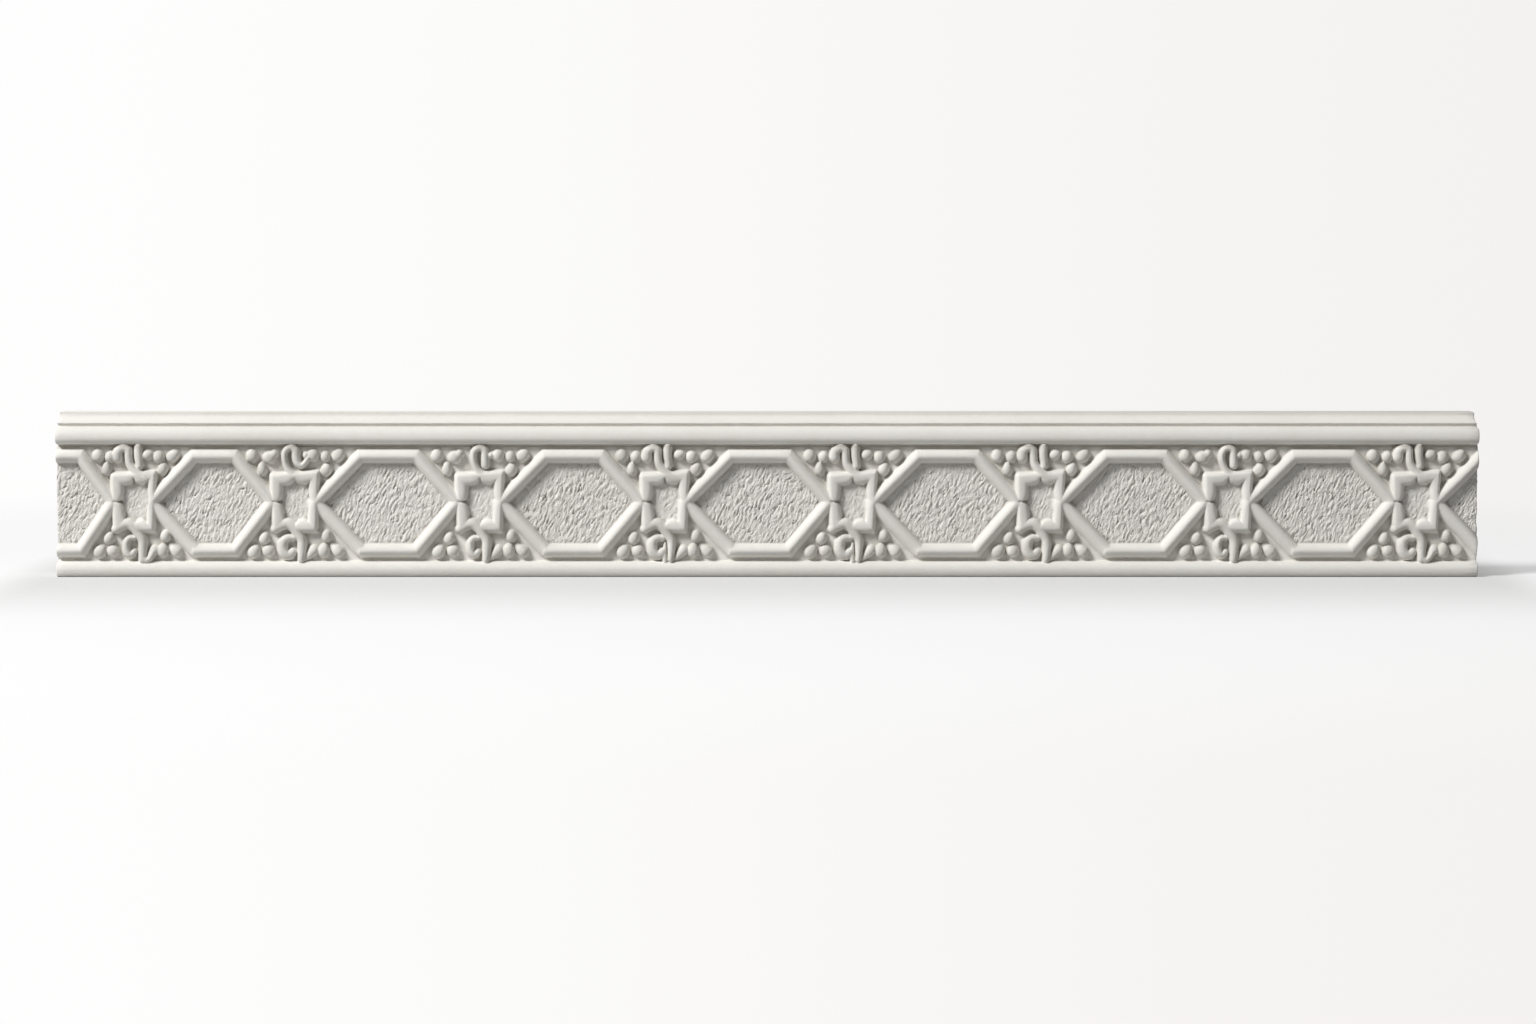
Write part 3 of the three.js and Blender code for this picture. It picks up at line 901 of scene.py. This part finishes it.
class Shader:
    def __init__(self, data):
        data.use_nodes = True
        self.tree = data.node_tree
        self.tree.nodes.clear()

    def node(self, kind, settings=None, inputs=None, output=0):
        made = self.tree.nodes.new(kind)
        for name, value in (settings or {}).items():
            setattr(made, name, value)
        for name, value in (inputs or {}).items():
            socket = made.inputs[name]
            if isinstance(value, Wire):
                self.tree.links.new(value.socket, socket)
            else:
                socket.default_value = value
        return Wire(self, made.outputs[output]) if made.outputs else None

    def noise(self, place, scale, detail, roughness=0.55):
        inputs = {"Vector": place, "Scale": scale, "Detail": detail, "Roughness": roughness}
        return self.node("ShaderNodeTexNoise", None, inputs)

    def background(self, colour, strength=1.0):
        return self.node("ShaderNodeBackground", None, {"Color": colour, "Strength": strength})

    def mixed(self, factor, first, second):
        return self.node("ShaderNodeMixShader", None, {0: factor, 1: first, 2: second})

    def between(self, factor, first, second):
        settings = {"data_type": "RGBA"}
        return self.node("ShaderNodeMix", settings, {0: factor, 6: first, 7: second}, 2)

    def spread(self, value, low, high):
        settings = {"clamp": True, "interpolation_type": "SMOOTHSTEP"}
        return self.node("ShaderNodeMapRange", settings, {0: value, 1: low, 2: high, 3: 0.0, 4: 1.0})


plaster = {
    "pale": (0.80, 0.78, 0.735, 1),
    "warm": (0.74, 0.715, 0.665, 1),
    # the grey of the painted shade in hollows, which the grime spots also take
    "paintedShade": (0.42, 0.395, 0.35, 1),
    "clouds": (16, 0.35, 0.7, 0.45),  # scale, noise from and to, share
    "mottle": (210, 0.3, 0.75, 0.3),
    "recessShadeFull": (0.05, 1.0),
    "recessShadeShare": 0.7,
    "grime": (60, 0.25, 0.7, 0.45),
    "roughness": (0.68, 0.86),
    "ior": 1.45,
    "grainScales": (1500, 520),
    "grainShares": (0.5, 0.9),
    "grainDepth": 0.00014,
    "scratchScales": (700, 900),
    "scratchShare": 0.5,
    "scratchLength": 2.5,
    "scratchDepth": 0.00105,
}


def plasterMaterial():
    material = bpy.data.materials.new("cast_plaster")
    s, p = Shader(material), plaster
    place = s.node("ShaderNodeTexCoord", None, None, 3)
    names = ("field", "hollowShade", "grime")
    field, recessShade, grime = (s.node("ShaderNodeAttribute", {"attribute_name": n}, None, 2) for n in names)
    scale, start, full, cloudShare = p["clouds"]
    clouds = s.spread(s.noise(place, scale, 4), start, full)
    scale, start, full, mottleShare = p["mottle"]
    mottle = s.spread(s.noise(place, scale, 3), start, full)
    tint = s.between(clouds * cloudShare + mottle * mottleShare, p["pale"], p["warm"])
    scale, start, full, grimeShare = p["grime"]
    spots = grime * s.spread(s.noise(place, scale, 3), start, full) * grimeShare
    # painted shade: hollows, the band under the upper roll and the foot are coloured towards the shade
    # grey, with the grime spots on top
    colour = s.between(s.spread(recessShade, *p["recessShadeFull"]) * p["recessShadeShare"] + spots, tint, p["paintedShade"])
    smoothest, roughest = p["roughness"]
    rough = smoothest + (roughest - smoothest) * mottle
    (fine, coarse), (fineShare, coarseShare) = p["grainScales"], p["grainShares"]
    grain = s.noise(place, fine, 2) * fineShare + s.noise(place, coarse, 3) * coarseShare
    tilt, longer = (0, math.pi / 2 - wrinkles["lean"], 0), (1, 1, p["scratchLength"])
    leaning = {"Vector": place, "Rotation": tilt, "Scale": longer}
    stretched = s.node("ShaderNodeMapping", {"vector_type": "TEXTURE"}, leaning)
    long, short = p["scratchScales"]
    scratches = (s.noise(stretched, long, 3, 0.6) + s.noise(place, short, 2) * p["scratchShare"]) * field
    grained = {"Strength": 1.0, "Distance": p["grainDepth"], "Height": grain}
    bump = s.node("ShaderNodeBump", None, grained)
    scratched = {"Strength": 1.0, "Distance": p["scratchDepth"], "Height": scratches, "Normal": bump}
    bump = s.node("ShaderNodeBump", None, scratched)
    looks = {"Base Color": colour, "Roughness": rough, "Normal": bump, "IOR": p["ior"]}
    s.node("ShaderNodeOutputMaterial", None, {"Surface": s.node("ShaderNodeBsdfPrincipled", None, looks)})
    return material


moulding.data.materials.clear()
moulding.data.materials.append(plasterMaterial())
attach(moulding, "root")
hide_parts(node)
print("plaster laid on")

# Studio: a pale floor that fades into the pale background, one large soft light from the upper left
studio = {
    # background colours seen by the camera: painted light, lighter on the left towards the key
    "backLeft": (0.99, 0.99, 0.988, 1),
    "backRight": (0.905, 0.89, 0.875, 1),
    "backReach": 0.2,
    "ambient": 0.12,
    "ambientBehind": 0.42,  # from behind the moulding, so that its back isn't dark
    "behind": (-0.2, 0.5),
    "floorColour": (0.46, 0.46, 0.46, 1),
    "floorGlow": 0.47,
    "floorShadow": (0.6, 0.6, 0.585, 1),  # painted shadow: close to the moulding the floor's glow is darker
    "floorShadowReach": 0.36,
    "sideShare": 7.0,  # beside the ends that wears off sooner than in front
    "floorRadius": 9.0,
    "floorSides": 96,
    "fade": (0.55, 1.15),
    "keyToward": (-0.58, -0.43, 0.64),
    "keyDistance": 7.0,
    "keySize": 2.4,
    "keyPower": 545.0,
}


def floorMaterial():
    material = bpy.data.materials.new("studio_floor")
    s = Shader(material)
    place = s.node("ShaderNodeTexCoord", None, None, 3)
    across, deep = (s.node("ShaderNodeSeparateXYZ", None, {0: place}, axis) for axis in (0, 1))
    outside = across.maths("ABSOLUTE", across, 0) - runLength * mm / 2
    outside = outside.maths("MAXIMUM", outside * studio["sideShare"], 0)
    beyond = deep.maths("ABSOLUTE", deep, 0) - runDepth * mm / 2
    beyond = beyond.maths("MAXIMUM", beyond, 0)
    squares = outside * outside + beyond * beyond
    near = squares.maths("SQRT", squares, 0)
    # painted shadow on the floor's glow near the moulding
    shadowedGlow = s.between(s.spread(near, 0.0, studio["floorShadowReach"]), studio["floorShadow"], (1, 1, 1, 1))
    distance = s.node("ShaderNodeVectorMath", {"operation": "LENGTH"}, {0: place}, 1)
    away = s.spread(distance, *studio["fade"])
    lit = s.node("ShaderNodeBsdfDiffuse", None, {"Color": studio["floorColour"]})
    seen = s.node("ShaderNodeLightPath", None, None, 0)
    glow = s.node("ShaderNodeEmission", None, {"Color": shadowedGlow, "Strength": studio["floorGlow"]})
    glowingFloor = s.node("ShaderNodeAddShader", None, {0: lit, 1: glow})
    floor = s.mixed(seen, lit, glowingFloor)
    fading = s.mixed(away, floor, s.node("ShaderNodeBsdfTransparent"))
    s.node("ShaderNodeOutputMaterial", None, {"Surface": fading})
    return material


def studioFloor():
    sides, radius = studio["floorSides"], studio["floorRadius"]
    turns = [2 * math.pi * i / sides for i in range(sides)]
    mesh = bpy.data.meshes.new("studio_floor")
    rim = [(radius * math.cos(t), radius * math.sin(t), 0) for t in turns]
    mesh.from_pydata(rim, [], [list(range(sides))])
    mesh.materials.append(floorMaterial())
    floor = bpy.data.objects.new("studio_floor", mesh)
    bpy.context.scene.collection.objects.link(floor)


def studioWorld():
    world = bpy.data.worlds.new("studio")
    bpy.context.scene.world = world
    s = Shader(world)
    seen = s.node("ShaderNodeLightPath", None, None, 0)
    direction = s.node("ShaderNodeTexCoord", None, None, 0)
    aside, along = (s.node("ShaderNodeSeparateXYZ", None, {0: direction}, axis) for axis in (0, 1))
    white = (1, 1, 1, 1)
    front, behind = s.background(white, studio["ambient"]), s.background(white, studio["ambientBehind"])
    fill = s.mixed(s.spread(along, *studio["behind"]), front, behind)
    # painted light: the background shown to the camera is lighter on the left, towards the key
    left, right = s.background(studio["backLeft"]), s.background(studio["backRight"])
    back = s.mixed(s.spread(aside, -studio["backReach"], studio["backReach"]), left, right)
    s.node("ShaderNodeOutputWorld", None, {"Surface": s.mixed(seen, fill, back)})


def studioKey():
    lamp = bpy.data.lights.new("key", "AREA")
    lamp.shape, lamp.size = "DISK", studio["keySize"]
    lamp.energy = studio["keyPower"]
    key = bpy.data.objects.new("key", lamp)
    toward = Vector(studio["keyToward"]).normalized()
    key.location = toward * studio["keyDistance"]
    key.rotation_euler = toward.to_track_quat("Z", "Y").to_euler()
    bpy.context.scene.collection.objects.link(key)


studioFloor()
studioWorld()
studioKey()

# Camera as in the photograph: three metres away, four degrees above
view = {
    "distance": 3.0,
    "elevation": 4.0,
    "lens": 100.1,
    "filmWidth": 36,
    "lookAt": (0.0006, -0.017, 0.046),
}


def studioCamera():
    camera = bpy.data.objects.new("camera", bpy.data.cameras.new("camera"))
    camera.data.lens, camera.data.sensor_width = view["lens"], view["filmWidth"]
    rise = math.radians(view["elevation"])
    back = Vector((0, -math.cos(rise), math.sin(rise)))
    camera.location = Vector(view["lookAt"]) + back * view["distance"]
    camera.rotation_euler = back.to_track_quat("Z", "Y").to_euler()
    bpy.context.scene.collection.objects.link(camera)
    bpy.context.scene.camera = camera


studioCamera()
bpy.context.scene.view_settings.view_transform = "Standard"
bpy.context.scene.view_settings.look = "None"
print("studio ready")
